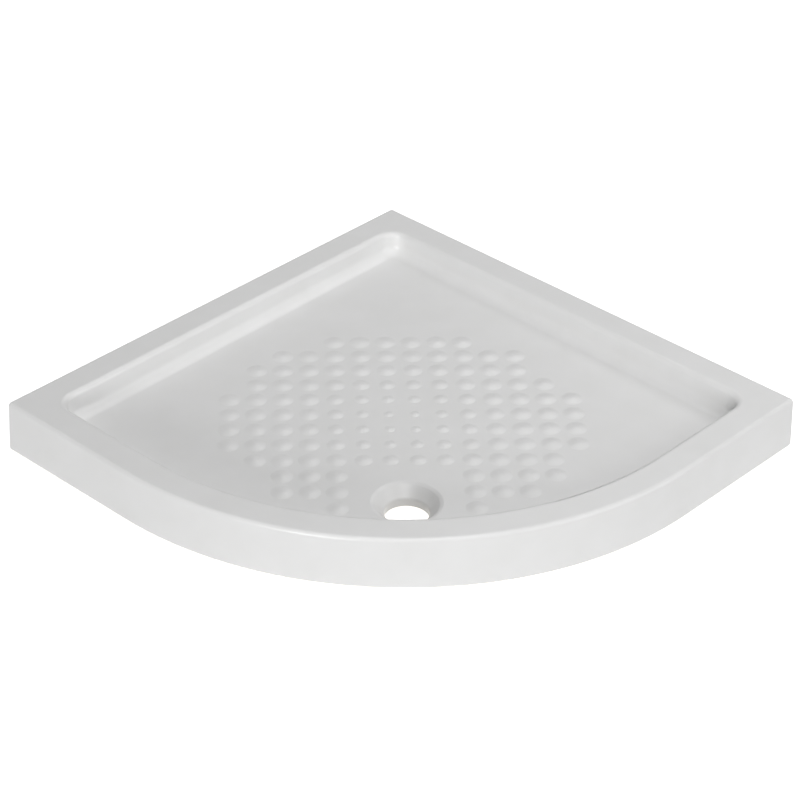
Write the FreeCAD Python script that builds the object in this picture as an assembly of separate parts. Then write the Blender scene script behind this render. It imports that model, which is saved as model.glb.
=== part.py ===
import FreeCAD
import Part
import math
import os

from FreeCAD import Placement, Rotation, Vector

# Quadrant shower tray of glazed fireclay on five low levelling feet, in millimetres.
# The origin is the middle of the tray's square plan, on the floor, with +Z up. The two wall
# sides face -X and +Y, and the swept front faces +X and -Y, so the plan's line of symmetry
# runs from the back corner at (-X, +Y) through the waste to the middle of the front.

# Tray outline
side_length = 800.0
front_radius = 550.0
tray_height = 81.0
skirt_lean = 2.3
corner_radius = 5.0
top_edge_radius = 6.0
lower_edge_radius = 5.0

# Rim and bowl
rim_width = 50.0
rim_inner_radius = 9.0
bowl_corner_radius = 30.0
bowl_wall_lean = 8.0
bowl_depth = 40.5
floor_fillet_radius = 17.0
floor_fall = 0.01

# Waste outlet
waste_setback = 144.5
dish_radius = 47.5
dish_depth = 17.0
hole_radius = 31.5
outlet_clearance = 10.5
lip_radius = 8.0
throat_radius = 5.0
outlet_edge_radius = 2.0

# Anti-slip studs
stud_pitch = 38.3
stud_centre_to_waste = 196.5
stud_columns = 14
stud_rows = [
    (5, 10), (3, 12), (2, 12), (2, 13), (1, 14), (1, 14),
    (1, 14), (1, 14), (2, 13), (3, 13), (3, 12), (5, 10),
]
stud_clear_of_waste = 90.0
stud_diameter = 36.0
centre_stud_diameter = 14.0
stud_growth = 0.146
stud_height = 2.4
stud_foot_radius = 28.0
stud_sink = 0.05
stud_root = 3.0

# Hollow underside
skirt_thickness = 14.0
hollow_corner_radius = 10.0
rim_thickness = 14.0
bowl_wall_thickness = 13.0
floor_thickness = 12.0
rib_thickness = 14.0
rib_offset = 100.0
rib_clearance = 4.0
boss_wall = 14.0
boss_spread = 11.0

# Levelling feet
foot_inset = 120.0
front_foot_angle = 25.0
sole_thickness = 2.0
sole_groove_width = 2.0
sole_groove_depth = 0.8
sole_groove_radii = [14.0, 22.0]
base_radius = 30.0
base_height = 5.7
base_floor = 1.6
base_edge_radius = 2.0
spindle_radius = 5.0
spindle_head_radius = 8.0
spindle_head_height = 2.0
spindle_overrun = 3.0
spindle_tip_chamfer = 1.0
spanner_flats = 8.0
spanner_flats_length = 5.0
lock_nut_width = 16.0
lock_nut_height = 5.0
lock_nut_gap = 0.3
socket_hub_radius = 12.0
socket_flange_radius = 32.0
socket_flange_thickness = 3.0
socket_web_count = 6
socket_web_thickness = 3.0
socket_web_reach = 8.0
socket_web_share = 0.55
pad_thickness = 2.0
pad_hole_clearance = 2.0
seat_below_floor = 13.0
seat_margin = 4.0
recess_clearance = 1.0
running_clearance = 0.05
head_end_clearance = 0.05

# Allowance by which a cutting body runs past what it cuts
past = 10.0

# Places worked out from the sizes above
half_side = side_length / 2
up = Vector(0, 0, 1)
diagonal = Vector(1, -1, 0).normalize()
across = Vector(1, 1, 0).normalize()
arc_centre = Vector(half_side - front_radius, front_radius - half_side, 0)
front_middle = arc_centre + diagonal * front_radius
waste_centre = front_middle - diagonal * waste_setback
waste_floor = tray_height - bowl_depth
bowl_inset = skirt_lean + rim_width
wall_lean_angle = math.atan(bowl_wall_lean / bowl_depth)
floor_fillet_reach = floor_fillet_radius * math.tan((math.pi / 2 - wall_lean_angle) / 2)
floor_normal = (diagonal * floor_fall + up).normalize()
floor_turn = Rotation(up, floor_normal)

# Levels of one foot, from the ground up and from its seat under the floor down; the socket's hub
# takes up the height between
base_level = sole_thickness
head_level = base_level + base_floor
nut_level = base_level + base_height + lock_nut_gap
hub_level = nut_level + lock_nut_height
seat_level = waste_floor - seat_below_floor
pad_level = seat_level - pad_thickness
spindle_top = seat_level + spindle_overrun
recess_top = spindle_top + recess_clearance
recess_radius = spindle_radius + pad_hole_clearance
thread_radius = spindle_radius + running_clearance


def floor_height(point):
    # The floor is one plane that falls along the line of symmetry
    return waste_floor - (point - waste_centre).dot(diagonal) * floor_fall


def wall_inset(start, height):
    # Inset of a leaning bowl wall at a height, from its inset at the top of the rim
    return start + bowl_wall_lean * (tray_height - height) / bowl_depth


def plan_inset(point):
    # How far a point lies inside the foot of the skirt, seen from above
    from_arc = Vector(point.x, point.y, 0) - arc_centre
    if from_arc.x > 0 and from_arc.y < 0:
        front = front_radius - from_arc.Length
    else:
        front = min(half_side - point.x, half_side + point.y)
    return min(front, half_side + point.x, half_side - point.y)


def corner_arc(centre, radius, turn):
    # Quarter circle about a plan corner, anticlockwise from the angle turn
    def place(angle):
        return centre + Vector(math.cos(angle), math.sin(angle), 0) * radius
    start = math.radians(turn)
    return Part.Arc(place(start), place(start + math.pi / 4), place(start + math.pi / 2)).toShape()


def outline(inset, height, corner_reach):
    # Plan of the tray moved in by inset from its foot; the small corners turn about points that
    # lie corner_reach inside the skirt's foot
    lift = up * height
    reach = half_side - corner_reach
    small = corner_reach - inset
    arcs = [
        corner_arc(Vector(-reach, -reach, 0) + lift, small, 180),
        corner_arc(arc_centre + lift, front_radius - inset, 270),
        corner_arc(Vector(reach, reach, 0) + lift, small, 0),
        corner_arc(Vector(-reach, reach, 0) + lift, small, 90),
    ]
    edges = []
    for arc, following in zip(arcs, arcs[1:] + arcs[:1]):
        edges.append(arc)
        start = arc.valueAt(arc.LastParameter)
        end = following.valueAt(following.FirstParameter)
        edges.append(Part.LineSegment(start, end).toShape())
    return Part.Wire(edges)


def straight_block(inset, low, high, corner_reach):
    face = Part.Face(outline(inset, low, corner_reach))
    return face.extrude(up * (high - low))


def leaning_block(start, low, high, corner_reach):
    wires = [outline(wall_inset(start, height), height, corner_reach) for height in (low, high)]
    return Part.makeLoft(wires, True, True)


def above_floor(drop):
    # Everything above the floor's plane, lowered by drop
    block = Part.makeBox(side_length * 2, side_length * 2, tray_height, Vector(-side_length, -side_length, 0))
    block.Placement = Placement(waste_centre + up * (waste_floor - drop), floor_turn)
    return block


def edges_where(shape, test):
    # Edges whose ends and middle all pass the test
    found = []
    for edge in shape.Edges:
        spots = [vertex.Point for vertex in edge.Vertexes]
        spots.append(edge.valueAt((edge.FirstParameter + edge.LastParameter) / 2))
        if all(test(spot) for spot in spots):
            found.append(edge)
    return found


def near(value, target):
    return abs(value - target) < 1e-4


def cylinder(centre, radius, low, high):
    return Part.makeCylinder(radius, high - low, Vector(centre.x, centre.y, low))


def turned(points, centre):
    # Solid of revolution about the upright axis through centre, from (radius, height) points
    wire = Part.makePolygon([Vector(r, 0, z) for r, z in points + points[:1]])
    solid = Part.Face(wire).revolve(Vector(0, 0, 0), up, 360)
    solid.translate(Vector(centre.x, centre.y, 0))
    return solid


def sharp_corners(inset, height):
    # Plan of the tray moved in by inset, from the front sweep's right end round to its left end,
    # with its three square corners left sharp
    reach = half_side - inset
    sweep_end = half_side - front_radius
    return [
        Vector(reach, -sweep_end, height), Vector(reach, reach, height), Vector(-reach, reach, height),
        Vector(-reach, -reach, height), Vector(sweep_end, -reach, height),
    ]


def sharp_face(inset, height):
    corners = sharp_corners(inset, height)
    arc = corner_arc(arc_centre + up * height, front_radius - inset, 270)
    sides = [Part.LineSegment(start, end).toShape() for start, end in zip(corners, corners[1:])]
    return Part.Face(Part.Wire([arc] + sides))


def outer_block():
    # The skirt leans in a little from its foot to the rim: four plane sides and a conical front
    foot = sharp_corners(0, 0)
    top = sharp_corners(skirt_lean, tray_height)
    front = Part.makeCone(front_radius, front_radius - skirt_lean, tray_height, arc_centre, up, 90)
    front.rotate(arc_centre, up, -90)
    faces = [sharp_face(0, 0), sharp_face(skirt_lean, tray_height), front.Faces[0]]
    for k in range(len(foot) - 1):
        faces.append(Part.Face(Part.makePolygon([foot[k], foot[k + 1], top[k + 1], top[k], foot[k]])))
    shell = Part.Shell(faces)
    shell.sewShape()
    block = Part.Solid(shell)
    block = block.makeFillet(corner_radius, edges_where(block, lambda p: near(abs(p.x), abs(p.y))))
    block = block.makeFillet(top_edge_radius, edges_where(block, lambda p: near(p.z, tray_height)))
    return block.makeFillet(lower_edge_radius, edges_where(block, lambda p: near(p.z, 0)))


def bowl_space():
    low = floor_height(front_middle) - past
    space = leaning_block(bowl_inset, low, tray_height + past, bowl_inset + bowl_corner_radius)
    space = space.common(above_floor(0))
    foot_line = edges_where(space, lambda p: near(p.z, floor_height(p)))
    return space.makeFillet(floor_fillet_radius, foot_line)


def waste_space():
    # The dish carries on upwards at the same slant, so that it meets the falling floor all round
    throat = waste_floor - dish_depth
    mouth = waste_floor + past
    mouth_radius = dish_radius + past * (dish_radius - hole_radius) / dish_depth
    points = [(0, mouth), (mouth_radius, mouth), (hole_radius, throat), (hole_radius, -past), (0, -past)]
    return turned(points, waste_centre)


def waste_boss():
    foot = hole_radius + boss_wall
    top = waste_floor
    points = [(0, top), (foot + boss_spread, top), (foot, outlet_clearance), (0, outlet_clearance)]
    return turned(points, waste_centre)


def foot_places():
    # Three feet in the square corners and two behind the front, either side of the waste
    reach = half_side - foot_inset
    places = {
        "back": Vector(-reach, reach, 0),
        "left": Vector(-reach, -reach, 0),
        "right": Vector(reach, reach, 0),
    }
    for name, side in (("front_left", -1), ("front_right", 1)):
        turn = Rotation(up, side * front_foot_angle)
        places[name] = arc_centre + turn.multVec(diagonal) * (front_radius - foot_inset)
    return places


def underside_space():
    # The hollow behind the skirt, round the bowl, without the ribs and bosses left standing in it
    bowl_start = bowl_inset - bowl_wall_thickness
    ceiling = tray_height - rim_thickness
    space = straight_block(skirt_thickness, -past, ceiling, skirt_thickness + hollow_corner_radius)
    bowl = leaning_block(bowl_start, -past, tray_height + past, bowl_inset + bowl_corner_radius)
    bowl = bowl.common(above_floor(floor_thickness))
    rib = Part.makeBox(rib_thickness, side_length, tray_height,
                       Vector(-rib_offset - rib_thickness / 2, -half_side, rib_clearance))
    crossing = Part.makeBox(side_length, rib_thickness, tray_height,
                            Vector(-half_side, rib_offset - rib_thickness / 2, rib_clearance))
    standing = [bowl, rib, crossing, waste_boss()]
    seat_radius = socket_flange_radius + seat_margin
    for place in foot_places().values():
        standing.append(cylinder(place, seat_radius, seat_level, floor_height(place)))
    return space.cut(standing)


def foot_seats():
    # Level seats under the floor, each with a blind recess for the top of the screw
    seats = []
    for place in foot_places().values():
        seats.append(cylinder(place, socket_flange_radius + seat_margin, 0, seat_level))
        seats.append(cylinder(place, recess_radius, 0, recess_top))
    return seats


def stud(diameter):
    # Low dome with a hollow-curved foot, on a root that is sunk into the floor
    height = stud_height * diameter / stud_diameter + stud_sink
    radius = diameter / 2
    total = (radius ** 2 + height ** 2) / (2 * height)
    foot_radius = stud_foot_radius * diameter / stud_diameter
    dome_radius = total - foot_radius
    slope = math.asin(radius / total)
    dome_centre = Vector(0, 0, height - dome_radius)
    foot_centre = Vector(radius, 0, foot_radius)

    def on_dome(angle):
        return dome_centre + Vector(math.sin(angle), 0, math.cos(angle)) * dome_radius

    def on_foot(angle):
        return foot_centre - Vector(math.sin(angle), 0, math.cos(angle)) * foot_radius

    root = Vector(0, 0, -stud_root)
    edges = [
        Part.Arc(on_dome(0), on_dome(slope / 2), on_dome(slope)).toShape(),
        Part.Arc(on_foot(slope), on_foot(slope / 2), on_foot(0)).toShape(),
        Part.LineSegment(on_foot(0), Vector(radius, 0, -stud_root)).toShape(),
        Part.LineSegment(Vector(radius, 0, -stud_root), root).toShape(),
        Part.LineSegment(root, on_dome(0)).toShape(),
    ]
    return Part.Face(Part.Wire(edges)).revolve(Vector(0, 0, 0), up, 360)


def stud_fits(point, radius):
    # A stud keeps to the flat of the floor, inside the fillet at the foot of the bowl's walls
    inset = wall_inset(bowl_inset, floor_height(point)) + floor_fillet_reach
    clear_of_waste = (point - waste_centre).Length > stud_clear_of_waste
    return clear_of_waste and plan_inset(point) > inset + radius


def studs():
    # Square grid whose rows lie across the line of symmetry; the studs grow away from its middle
    middle = waste_centre - diagonal * stud_centre_to_waste
    solids = []
    for row, (first, last) in enumerate(stud_rows, start=1):
        for column in range(first, last + 1):
            along = (row - (len(stud_rows) + 1) / 2) * stud_pitch
            aside = (column - (stud_columns + 1) / 2) * stud_pitch
            diameter = min(stud_diameter, centre_stud_diameter + stud_growth * math.hypot(along, aside))
            point = middle + diagonal * along + across * aside
            if not stud_fits(point, diameter / 2):
                continue
            solid = stud(diameter)
            solid.Placement = Placement(point + up * (floor_height(point) - stud_sink), floor_turn)
            solids.append(solid)
    return solids


def tray_body():
    body = outer_block().cut(bowl_space())

    def on_rim_inside(p):
        return near(p.z, tray_height) and plan_inset(p) > bowl_inset / 2

    body = body.makeFillet(rim_inner_radius, edges_where(body, on_rim_inside))
    body = body.cut([underside_space(), waste_space()] + foot_seats())

    def from_waste(p):
        return math.hypot(p.x - waste_centre.x, p.y - waste_centre.y)

    def on_lip(p):
        return near(p.z, floor_height(p)) and from_waste(p) < dish_radius + lip_radius

    def on_throat(p):
        return near(from_waste(p), hole_radius) and near(p.z, waste_floor - dish_depth)

    def on_outlet(p):
        return near(from_waste(p), hole_radius) and near(p.z, outlet_clearance)

    body = body.makeFillet(lip_radius, edges_where(body, on_lip))
    body = body.makeFillet(throat_radius, edges_where(body, on_throat))
    body = body.makeFillet(outlet_edge_radius, edges_where(body, on_outlet))
    return body.fuse(studs())


def foot_pad(place):
    pad = cylinder(place, socket_flange_radius, pad_level, seat_level)
    return pad.cut(cylinder(place, recess_radius, pad_level, seat_level))


def foot_socket(place):
    flange_level = pad_level - socket_flange_thickness
    web_drop = (flange_level - hub_level) * socket_web_share
    socket = cylinder(place, socket_flange_radius, flange_level, pad_level)
    socket = socket.fuse(cylinder(place, socket_hub_radius, hub_level, pad_level))
    webs = []
    for index in range(socket_web_count):
        corner = [
            Vector(0, 0, flange_level),
            Vector(socket_hub_radius + socket_web_reach, 0, flange_level),
            Vector(socket_hub_radius, 0, flange_level - web_drop),
            Vector(0, 0, flange_level - web_drop),
        ]
        web = Part.Face(Part.makePolygon(corner + corner[:1])).extrude(Vector(0, socket_web_thickness, 0))
        web.translate(Vector(0, -socket_web_thickness / 2, 0))
        web.rotate(Vector(0, 0, 0), up, index * 360 / socket_web_count)
        web.translate(place)
        webs.append(web)
    socket = socket.fuse(webs).removeSplitter()
    return socket.cut(cylinder(place, thread_radius, hub_level - past, pad_level + past))


def foot_lock_nut(place):
    corner_distance = lock_nut_width / math.sqrt(3)
    corners = [Rotation(up, 60 * k).multVec(Vector(corner_distance, 0, nut_level)) for k in range(7)]
    nut = Part.Face(Part.makePolygon(corners)).extrude(up * lock_nut_height)
    nut.translate(place)
    flat_radius = lock_nut_width / 2
    bevel = (corner_distance - flat_radius) * math.tan(math.radians(30))
    top = nut_level + lock_nut_height
    points = [(0, nut_level), (flat_radius, nut_level), (corner_distance, nut_level + bevel),
              (corner_distance, top - bevel), (flat_radius, top), (0, top)]
    nut = nut.common(turned(points, place))
    return nut.cut(cylinder(place, thread_radius, nut_level - past, top + past))


def foot_spindle(place):
    neck = head_level + spindle_head_height
    tip = spindle_radius - spindle_tip_chamfer
    points = [
        (0, head_level), (spindle_head_radius, head_level), (spindle_head_radius, neck),
        (spindle_radius, neck), (spindle_radius, spindle_top - spindle_tip_chamfer),
        (tip, spindle_top), (0, spindle_top),
    ]
    spindle = turned(points, place)
    flats = []
    for turn in (0, 180):
        flat = Part.makeBox(spindle_radius, spindle_radius * 2, spanner_flats_length)
        flat.translate(Vector(spanner_flats / 2, -spindle_radius, nut_level))
        flat.rotate(Vector(0, 0, 0), up, turn)
        flat.translate(place)
        flats.append(flat)
    return spindle.cut(flats)


def foot_base(place):
    top = base_level + base_height
    base = cylinder(place, base_radius, base_level, top)
    base = base.makeFillet(base_edge_radius, edges_where(base, lambda p: near(p.z, top)))
    ceiling = head_level + spindle_head_height + head_end_clearance
    chamber = cylinder(place, spindle_head_radius + running_clearance, head_level, ceiling)
    return base.cut([chamber, cylinder(place, thread_radius, head_level, top + past)])


def foot_sole(place):
    sole = cylinder(place, base_radius, 0, base_level)
    grooves = []
    for radius in sole_groove_radii:
        ring = cylinder(place, radius + sole_groove_width / 2, 0, sole_groove_depth)
        grooves.append(ring.cut(cylinder(place, radius - sole_groove_width / 2, 0, sole_groove_depth)))
    return sole.cut(grooves)


os.makedirs("parts", exist_ok=True)
pieces = {"tray_body": tray_body()}
for name, place in foot_places().items():
    for make in (foot_pad, foot_socket, foot_lock_nut, foot_spindle, foot_base, foot_sole):
        pieces[name + "_" + make.__name__] = make(place)
for node, shape in pieces.items():
    if not shape.isValid() or len(shape.Solids) != 1:
        raise ValueError(node + " isn't one valid solid")
    shape.Solids[0].exportStep("parts/" + node + ".step")
    print(node, round(shape.Volume / 1000, 2), "cm3")
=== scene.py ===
import math

import bpy
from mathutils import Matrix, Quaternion, Vector

# Quadrant shower tray: one white glazed casting on five levelling feet

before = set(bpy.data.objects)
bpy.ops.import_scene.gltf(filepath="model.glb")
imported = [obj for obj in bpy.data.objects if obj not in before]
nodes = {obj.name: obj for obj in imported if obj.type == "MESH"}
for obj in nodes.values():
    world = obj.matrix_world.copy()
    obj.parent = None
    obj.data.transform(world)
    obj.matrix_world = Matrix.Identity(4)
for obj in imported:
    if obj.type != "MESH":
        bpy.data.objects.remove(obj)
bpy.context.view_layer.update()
bpy.ops.object.select_all(action="DESELECT")
print("frame loaded,", len(nodes), "nodes")

feet = ["back", "left", "right", "front_left", "front_right"]


def hexColour(code):
    # sRGB hex value to the linear colour that a shader socket takes
    channels = [int(code[place:place + 2], 16) / 255 for place in (1, 3, 5)]
    linear = [c / 12.92 if c <= 0.04045 else ((c + 0.055) / 1.055) ** 2.4 for c in channels]
    return (*linear, 1.0)


def metres(millimetres):
    return millimetres / 1000


def perMetre(millimetres):
    # Texture scale whose features are about this many millimetres across
    return 1 / metres(millimetres)


def addNode(tree, kind, inputs=None, **settings):
    node = tree.nodes.new("ShaderNode" + kind)
    for name, value in settings.items():
        setattr(node, name, value)
    for socket, value in (inputs or {}).items():
        if isinstance(value, bpy.types.NodeSocket):
            tree.links.new(value, node.inputs[socket])
        else:
            node.inputs[socket].default_value = value
    return node


def newMaterial(name):
    material = bpy.data.materials.new(name)
    material.use_nodes = True
    tree = material.node_tree
    shader = tree.nodes["Principled BSDF"]
    coords = addNode(tree, "TexCoord").outputs["Object"]
    return material, tree, shader, coords


def dress(names, material):
    for name in names:
        nodes[name].material_slots[0].material = material


# Gloss glaze over white fireclay
# The glaze is a glassy coat: clean white, softly glossy, with slow waves from the firing and a few pinholes.
# Underneath, and on the ring that stood in the kiln, the clay is bare: matt, creamy and gritty.
fireclay = {
    "glazeColour": "#e9e9e9",
    "glazeThinColour": "#e2e2e1",
    "glazeRoughness": 0.27,
    "glazeSmear": 0.06,
    "glazeIor": 1.5,
    "waveMm": 55,
    "waveHeightMm": 0.09,
    "peelMm": 6,
    "peelHeightMm": 0.004,
    "pinholeMm": 26,
    "pinholeShare": 0.035,
    "pinholeDepthMm": 0.05,
    "clayColour": "#d8cdbb",
    "claySpeckColour": "#b39f84",
    "clayRoughness": 0.9,
    "gritMm": 2.4,
    "gritHeightMm": 0.15,
    "speckFrom": 0.58,  # the part of the grit's noise that shows as dark specks
    "speckTo": 0.7,
    "downRise": -0.6,  # normals that point down more than this belong to bare faces
    "uprightRise": 0.15,
    "halfSide": 0.400,
    "frontRadius": 0.550,
    "skirtSkin": 0.0115,
    "wasteCentre": (0.13673, -0.13673, 0.0),
    "wasteReach": 0.036,
}


def glazedFireclay(look):
    material, tree, shader, coords = newMaterial("glazedFireclay")

    # How deep a point lies inside the outer faces, seen from above
    reach = look["frontRadius"] - look["halfSide"]
    split = addNode(tree, "SeparateXYZ", {0: coords}).outputs
    fromLeft = addNode(tree, "Math", {0: split["X"], 1: look["halfSide"]}, operation="ADD").outputs[0]
    fromBack = addNode(tree, "Math", {0: look["halfSide"], 1: split["Y"]}, operation="SUBTRACT").outputs[0]
    toArc = addNode(tree, "VectorMath", {0: coords, 1: (-reach, reach, 0)}, operation="SUBTRACT").outputs[0]
    toArc = addNode(tree, "VectorMath", {0: toArc, 1: (1, -1, 0)}, operation="MULTIPLY").outputs[0]
    toArc = addNode(tree, "VectorMath", {0: toArc, 1: (0, 0, 0)}, operation="MAXIMUM").outputs[0]
    fromArc = addNode(tree, "VectorMath", {0: toArc}, operation="LENGTH").outputs["Value"]
    fromArc = addNode(tree, "Math", {0: look["frontRadius"], 1: fromArc}, operation="SUBTRACT").outputs[0]
    depth = addNode(tree, "Math", {0: fromLeft, 1: fromBack}, operation="MINIMUM").outputs[0]
    depth = addNode(tree, "Math", {0: depth, 1: fromArc}, operation="MINIMUM").outputs[0]

    # Bare clay: what faces down, and the upright faces inside the hollow except the outlet's
    flat = addNode(tree, "VectorMath", {0: coords, 1: (1, 1, 0)}, operation="MULTIPLY").outputs[0]
    fromWaste = addNode(tree, "VectorMath", {0: flat, 1: look["wasteCentre"]},
                        operation="DISTANCE").outputs["Value"]
    normal = addNode(tree, "NewGeometry").outputs["Normal"]
    rise = addNode(tree, "SeparateXYZ", {0: normal}).outputs["Z"]
    facesDown = addNode(tree, "Math", {0: rise, 1: look["downRise"]}, operation="LESS_THAN").outputs[0]
    upright = addNode(tree, "Math", {0: rise, 1: look["uprightRise"]}, operation="LESS_THAN").outputs[0]
    inside = addNode(tree, "Math", {0: depth, 1: look["skirtSkin"]}, operation="GREATER_THAN").outputs[0]
    offOutlet = addNode(tree, "Math", {0: fromWaste, 1: look["wasteReach"]},
                        operation="GREATER_THAN").outputs[0]
    hollow = addNode(tree, "Math", {0: upright, 1: inside}, operation="MULTIPLY").outputs[0]
    hollow = addNode(tree, "Math", {0: hollow, 1: offOutlet}, operation="MULTIPLY").outputs[0]
    bare = addNode(tree, "Math", {0: facesDown, 1: hollow}, operation="MAXIMUM").outputs[0]

    # Colour: a slow change in the glaze's thickness, and grit in the bare clay
    thickness = addNode(tree, "TexNoise", {"Vector": coords, "Scale": perMetre(look["waveMm"]),
                                           "Detail": 2}).outputs[0]
    glaze = addNode(tree, "Mix", {0: thickness, 6: hexColour(look["glazeColour"]),
                                  7: hexColour(look["glazeThinColour"])}, data_type="RGBA").outputs[2]
    grit = addNode(tree, "TexNoise", {"Vector": coords, "Scale": perMetre(look["gritMm"]),
                                      "Detail": 3}).outputs[0]
    speck = addNode(tree, "MapRange", {0: grit, 1: look["speckFrom"], 2: look["speckTo"]}).outputs[0]
    clay = addNode(tree, "Mix", {0: speck, 6: hexColour(look["clayColour"]),
                                 7: hexColour(look["claySpeckColour"])}, data_type="RGBA").outputs[2]
    colour = addNode(tree, "Mix", {0: bare, 6: glaze, 7: clay}, data_type="RGBA").outputs[2]
    tree.links.new(colour, shader.inputs["Base Color"])

    # Gloss: a glassy coat that a slight film dulls in places
    film = addNode(tree, "MapRange", {0: thickness, 3: look["glazeRoughness"],
                                      4: look["glazeRoughness"] + look["glazeSmear"]}).outputs[0]
    rough = addNode(tree, "Mix", {0: bare, 2: film, 3: look["clayRoughness"]}).outputs[0]
    tree.links.new(rough, shader.inputs["Roughness"])
    shader.inputs["IOR"].default_value = look["glazeIor"]

    # Relief: long waves, a trace of orange peel and pinholes in the glaze, grit in the clay
    peel = addNode(tree, "TexNoise", {"Vector": coords, "Scale": perMetre(look["peelMm"]),
                                      "Detail": 1}).outputs[0]
    cells = addNode(tree, "TexVoronoi", {"Vector": coords,
                                         "Scale": perMetre(look["pinholeMm"])}).outputs["Distance"]
    pinhole = addNode(tree, "MapRange", {0: cells, 1: 0, 2: look["pinholeShare"]}).outputs[0]
    wave = addNode(tree, "Math", {0: thickness, 1: metres(look["waveHeightMm"])},
                   operation="MULTIPLY").outputs[0]
    peel = addNode(tree, "Math", {0: peel, 1: metres(look["peelHeightMm"])}, operation="MULTIPLY").outputs[0]
    pit = addNode(tree, "Math", {0: pinhole, 1: metres(look["pinholeDepthMm"])},
                  operation="MULTIPLY").outputs[0]
    glazeRelief = addNode(tree, "Math", {0: wave, 1: peel}, operation="ADD").outputs[0]
    glazeRelief = addNode(tree, "Math", {0: glazeRelief, 1: pit}, operation="ADD").outputs[0]
    clayRelief = addNode(tree, "Math", {0: grit, 1: metres(look["gritHeightMm"])},
                         operation="MULTIPLY").outputs[0]
    relief = addNode(tree, "Mix", {0: bare, 2: glazeRelief, 3: clayRelief}).outputs[0]
    bump = addNode(tree, "Bump", {"Height": relief, "Strength": 1, "Distance": 1})
    tree.links.new(bump.outputs[0], shader.inputs["Normal"])
    return material


dress(["tray_body"], glazedFireclay(fireclay))
print("tray glazed")


# The parts of the noises that show as clouds and as specks in a moulded finish
mouldNoise = {"cloudFrom": 0.38, "cloudTo": 0.66, "speckFrom": 0.62, "speckTo": 0.68}


def mouldedFinish(name, look):
    # Moulded rubber and plastic: a cloudy colour, a gloss that follows it and the grain of the mould
    material, tree, shader, coords = newMaterial(name)
    cloud = addNode(tree, "TexNoise", {"Vector": coords, "Scale": perMetre(look["cloudMm"]), "Detail": 4,
                                       "Distortion": look["swirl"]}).outputs[0]
    cloud = addNode(tree, "MapRange", {0: cloud, 1: mouldNoise["cloudFrom"],
                                       2: mouldNoise["cloudTo"]}).outputs[0]
    colour = addNode(tree, "Mix", {0: cloud, 6: hexColour(look["colour"]),
                                   7: hexColour(look["cloudColour"])}, data_type="RGBA").outputs[2]
    grain = addNode(tree, "TexNoise", {"Vector": coords, "Scale": perMetre(look["grainMm"]),
                                       "Detail": 2}).outputs[0]
    speck = addNode(tree, "MapRange", {0: grain, 1: mouldNoise["speckFrom"],
                                       2: mouldNoise["speckTo"]}).outputs[0]
    colour = addNode(tree, "Mix", {0: speck, 6: colour, 7: hexColour(look["speckColour"])},
                     data_type="RGBA").outputs[2]
    tree.links.new(colour, shader.inputs["Base Color"])
    rough = addNode(tree, "MapRange", {0: cloud, 3: look["roughness"], 4: look["cloudRoughness"]}).outputs[0]
    tree.links.new(rough, shader.inputs["Roughness"])
    shader.inputs["IOR"].default_value = look["ior"]
    relief = addNode(tree, "Math", {0: grain, 1: metres(look["grainHeightMm"])},
                     operation="MULTIPLY").outputs[0]
    bump = addNode(tree, "Bump", {"Height": relief, "Strength": 1, "Distance": 1})
    tree.links.new(bump.outputs[0], shader.inputs["Normal"])
    return material


# EPDM sheet, cut and matt: near black, greyed in clouds by its own bloom
padRubber = {
    "colour": "#26272a",
    "cloudColour": "#3a3a3b",
    "speckColour": "#1c1c1e",
    "cloudMm": 14,
    "swirl": 0.0,
    "grainMm": 1.4,  # the cells of the sheet, drawn about twice as coarse so that they show
    "grainHeightMm": 0.06,
    "roughness": 0.78,
    "cloudRoughness": 0.92,
    "ior": 1.52,
}

# Glass-filled nylon, moulded and satin: dark grey, with pale swirls where the fibres lie at the skin
socketNylon = {
    "colour": "#46484b",
    "cloudColour": "#585a5c",
    "speckColour": "#6b6d6f",
    "cloudMm": 9,
    "swirl": 1.8,
    "grainMm": 1.1,  # fibre ends, drawn coarser than they are so that they show
    "grainHeightMm": 0.02,
    "roughness": 0.42,
    "cloudRoughness": 0.58,
    "ior": 1.55,
}

# Black nylon, moulded in a spark-eroded tool: an even satin grain
footNylon = {
    "colour": "#1d1e20",
    "cloudColour": "#26272a",
    "speckColour": "#313235",
    "cloudMm": 18,
    "swirl": 0.4,
    "grainMm": 0.9,
    "grainHeightMm": 0.025,
    "roughness": 0.4,
    "cloudRoughness": 0.5,
    "ior": 1.53,
}

# Moulded rubber sole, matt: black, dusted grey in patches by the floor
soleRubber = {
    "colour": "#1b1b1c",
    "cloudColour": "#403e3b",
    "speckColour": "#55524d",
    "cloudMm": 11,
    "swirl": 0.6,
    "grainMm": 1.2,
    "grainHeightMm": 0.05,
    "roughness": 0.8,
    "cloudRoughness": 0.95,
    "ior": 1.52,
}

# Bright zinc plate on turned steel: cool grey metal with a faint spangle, a milky film in places,
# and the rings of the thread
platedSteel = {
    "colour": "#cfd2d6",
    "filmColour": "#b9bcbd",
    "spangleMm": 2.2,
    "spangleDulling": 0.06,
    "filmMm": 7,
    "filmFrom": 0.4,  # the part of the film's noise that shows
    "filmTo": 0.65,
    "roughness": 0.2,
    "filmRoughness": 0.38,
    "scratchMm": 0.5,  # turning marks, drawn coarser than they are so that they show
    "scratchHeightMm": 0.006,
    "threadPitchMm": 1.5,
    "threadHeightMm": 0.5,
}


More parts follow.
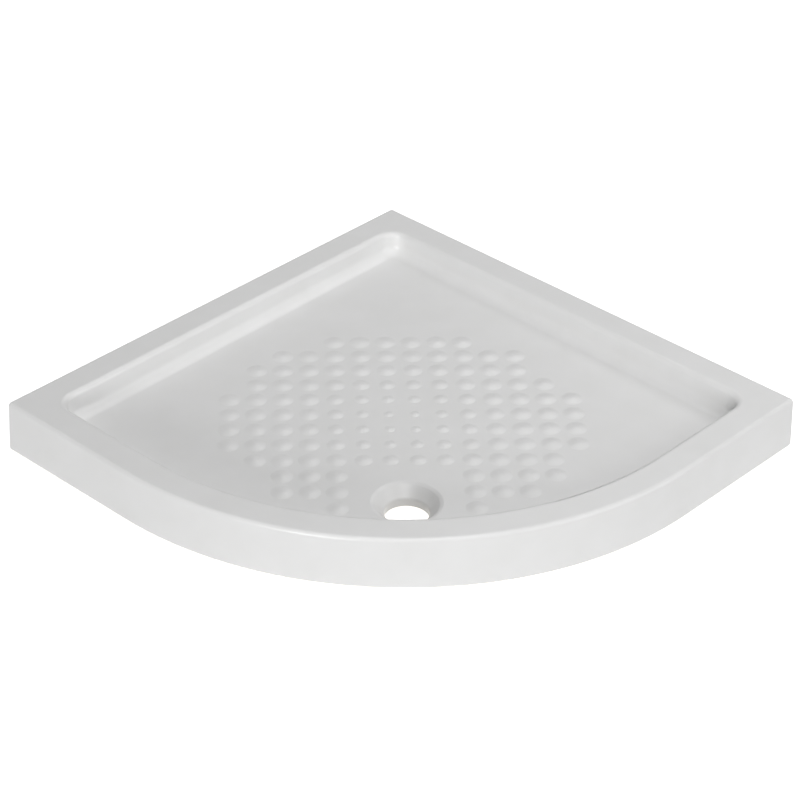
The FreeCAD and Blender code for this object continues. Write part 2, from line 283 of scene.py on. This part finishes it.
def zincPlatedSteel(name, look, threaded):
    material, tree, shader, coords = newMaterial(name)
    shader.inputs["Metallic"].default_value = 1.0
    film = addNode(tree, "TexNoise", {"Vector": coords, "Scale": perMetre(look["filmMm"]),
                                      "Detail": 3}).outputs[0]
    film = addNode(tree, "MapRange", {0: film, 1: look["filmFrom"], 2: look["filmTo"]}).outputs[0]
    spangle = addNode(tree, "TexVoronoi", {"Vector": coords,
                                           "Scale": perMetre(look["spangleMm"])}).outputs["Color"]
    spangle = addNode(tree, "SeparateXYZ", {0: spangle}).outputs[0]
    colour = addNode(tree, "Mix", {0: film, 6: hexColour(look["colour"]), 7: hexColour(look["filmColour"])},
                     data_type="RGBA").outputs[2]
    tree.links.new(colour, shader.inputs["Base Color"])
    dull = addNode(tree, "MapRange", {0: film, 3: look["roughness"], 4: look["filmRoughness"]}).outputs[0]
    dull = addNode(tree, "Math", {0: spangle, 1: look["spangleDulling"], 2: dull},
                   operation="MULTIPLY_ADD").outputs[0]
    tree.links.new(dull, shader.inputs["Roughness"])
    height = addNode(tree, "SeparateXYZ", {0: coords}).outputs["Z"]
    pitch = metres(look["threadPitchMm"] if threaded else look["scratchMm"])
    depth = metres(look["threadHeightMm"] if threaded else look["scratchHeightMm"])
    rings = addNode(tree, "Math", {0: height, 1: pitch / 2}, operation="PINGPONG").outputs[0]
    relief = addNode(tree, "Math", {0: rings, 1: depth * 2 / pitch}, operation="MULTIPLY").outputs[0]
    bump = addNode(tree, "Bump", {"Height": relief, "Strength": 1, "Distance": 1})
    tree.links.new(bump.outputs[0], shader.inputs["Normal"])
    return material


def piecesOf(kind):
    return [foot + "_" + kind for foot in feet]


dress(piecesOf("foot_pad"), mouldedFinish("epdmSheetMatt", padRubber))
dress(piecesOf("foot_socket"), mouldedFinish("glassFilledNylonSatin", socketNylon))
dress(piecesOf("foot_base"), mouldedFinish("blackNylonSatin", footNylon))
dress(piecesOf("foot_sole"), mouldedFinish("soleRubberMatt", soleRubber))
dress(piecesOf("foot_lock_nut"), zincPlatedSteel("zincPlatedNut", platedSteel, False))
dress(piecesOf("foot_spindle"), zincPlatedSteel("zincPlatedScrew", platedSteel, True))
print("feet finished")


# Photo angle: a long lens from the front, a little to the left of the tray's line of symmetry
camera = {
    "place": (2.1598, -2.3519, 2.1768),
    "direction": (-0.56633, 0.61505, -0.54861),
    "rollDegrees": 1.033,
    "lensMm": 120.445,
    "sensorMm": 36,
}


def addCamera(shot):
    data = bpy.data.cameras.new("photoCamera")
    data.lens = shot["lensMm"]
    data.sensor_width = shot["sensorMm"]
    photoCamera = bpy.data.objects.new("photoCamera", data)
    bpy.context.scene.collection.objects.link(photoCamera)
    aim = Vector(shot["direction"]).to_track_quat("-Z", "Y")
    photoCamera.rotation_mode = "QUATERNION"
    photoCamera.rotation_quaternion = aim @ Quaternion((0, 0, 1), math.radians(shot["rollDegrees"]))
    photoCamera.location = shot["place"]
    bpy.context.scene.camera = photoCamera


addCamera(camera)
print("camera placed")

# Soft boxes: azimuth round the tray from -Y and elevation in degrees, distance and size in metres,
# power in watts. The one below is smaller than the tray, so that it lights the underside alone.
lamps = {
    "frontBox": {"azimuth": 20, "elevation": 10, "distance": 6.0, "size": 1.8, "power": 150},
    "rightBox": {"azimuth": 111, "elevation": 25, "distance": 4.0, "size": 3.2, "power": 37},
    "backBox": {"azimuth": 192, "elevation": 55, "distance": 3.0, "size": 2.6, "power": 22},
    "highBox": {"azimuth": 55, "elevation": 60, "distance": 6.0, "size": 4.0, "power": 138},
    "underBox": {"azimuth": 0, "elevation": -90, "distance": 1.5, "size": 0.7, "power": 14},
}
studio = {
    "ambient": 0.09,
    "seenStrength": 1.0,  # white, where the camera sees the world
    "floorColour": "#e0e0e0",
    "floorGlow": 0.9,
    "floorSize": 30,
}


def addLamps(boxes):
    for name, box in boxes.items():
        data = bpy.data.lights.new(name, "AREA")
        data.shape = "DISK"
        data.size = box["size"]
        data.energy = box["power"]
        lamp = bpy.data.objects.new(name, data)
        bpy.context.scene.collection.objects.link(lamp)
        turn, lift = math.radians(box["azimuth"]), math.radians(box["elevation"])
        away = Vector((math.sin(turn) * math.cos(lift), -math.cos(turn) * math.cos(lift), math.sin(lift)))
        lamp.location = away * box["distance"]
        lamp.rotation_mode = "QUATERNION"
        lamp.rotation_quaternion = (-away).to_track_quat("-Z", "Y")


def seenRay(tree):
    # 1 for what the camera sees straight on, in a reflection or through glass
    path = addNode(tree, "LightPath").outputs
    seen = addNode(tree, "Math", {0: path["Is Camera Ray"], 1: path["Is Glossy Ray"]},
                   operation="MAXIMUM").outputs[0]
    return addNode(tree, "Math", {0: seen, 1: path["Is Transmission Ray"]}, operation="MAXIMUM").outputs[0]


def addWorld(look):
    world = bpy.data.worlds.new("paleStudio")
    bpy.context.scene.world = world
    world.use_nodes = True
    tree = world.node_tree
    strength = addNode(tree, "Mix", {0: seenRay(tree), 2: look["ambient"],
                                     3: look["seenStrength"]}).outputs[0]
    tree.links.new(strength, tree.nodes["Background"].inputs["Strength"])
    tree.nodes["Background"].inputs["Color"].default_value = (1, 1, 1, 1)


def addFloor(look):
    bpy.ops.mesh.primitive_plane_add(size=look["floorSize"])
    floor = bpy.context.object
    floor.name = "paleFloor"
    material = bpy.data.materials.new("palePaper")
    material.use_nodes = True
    tree = material.node_tree
    tree.nodes.remove(tree.nodes["Principled BSDF"])
    paper = addNode(tree, "BsdfDiffuse", {"Color": hexColour(look["floorColour"])}).outputs[0]
    glow = addNode(tree, "Math", {0: seenRay(tree), 1: look["floorGlow"]}, operation="MULTIPLY").outputs[0]
    light = addNode(tree, "Emission", {"Strength": glow}).outputs[0]
    lit = addNode(tree, "AddShader", {0: paper, 1: light}).outputs[0]
    # From below the paper isn't there, and it lets lamplight up, so that the feet can be looked at
    below = addNode(tree, "NewGeometry").outputs["Backfacing"]
    shadow = addNode(tree, "LightPath").outputs["Is Shadow Ray"]
    clear = addNode(tree, "Math", {0: below, 1: shadow}, operation="MAXIMUM").outputs[0]
    through = addNode(tree, "BsdfTransparent").outputs[0]
    sides = addNode(tree, "MixShader", {0: clear, 1: lit, 2: through}).outputs[0]
    tree.links.new(sides, tree.nodes["Material Output"].inputs["Surface"])
    floor.data.materials.append(material)


addLamps(lamps)
addWorld(studio)
addFloor(studio)
bpy.context.scene.view_settings.view_transform = "Standard"
print("studio set")
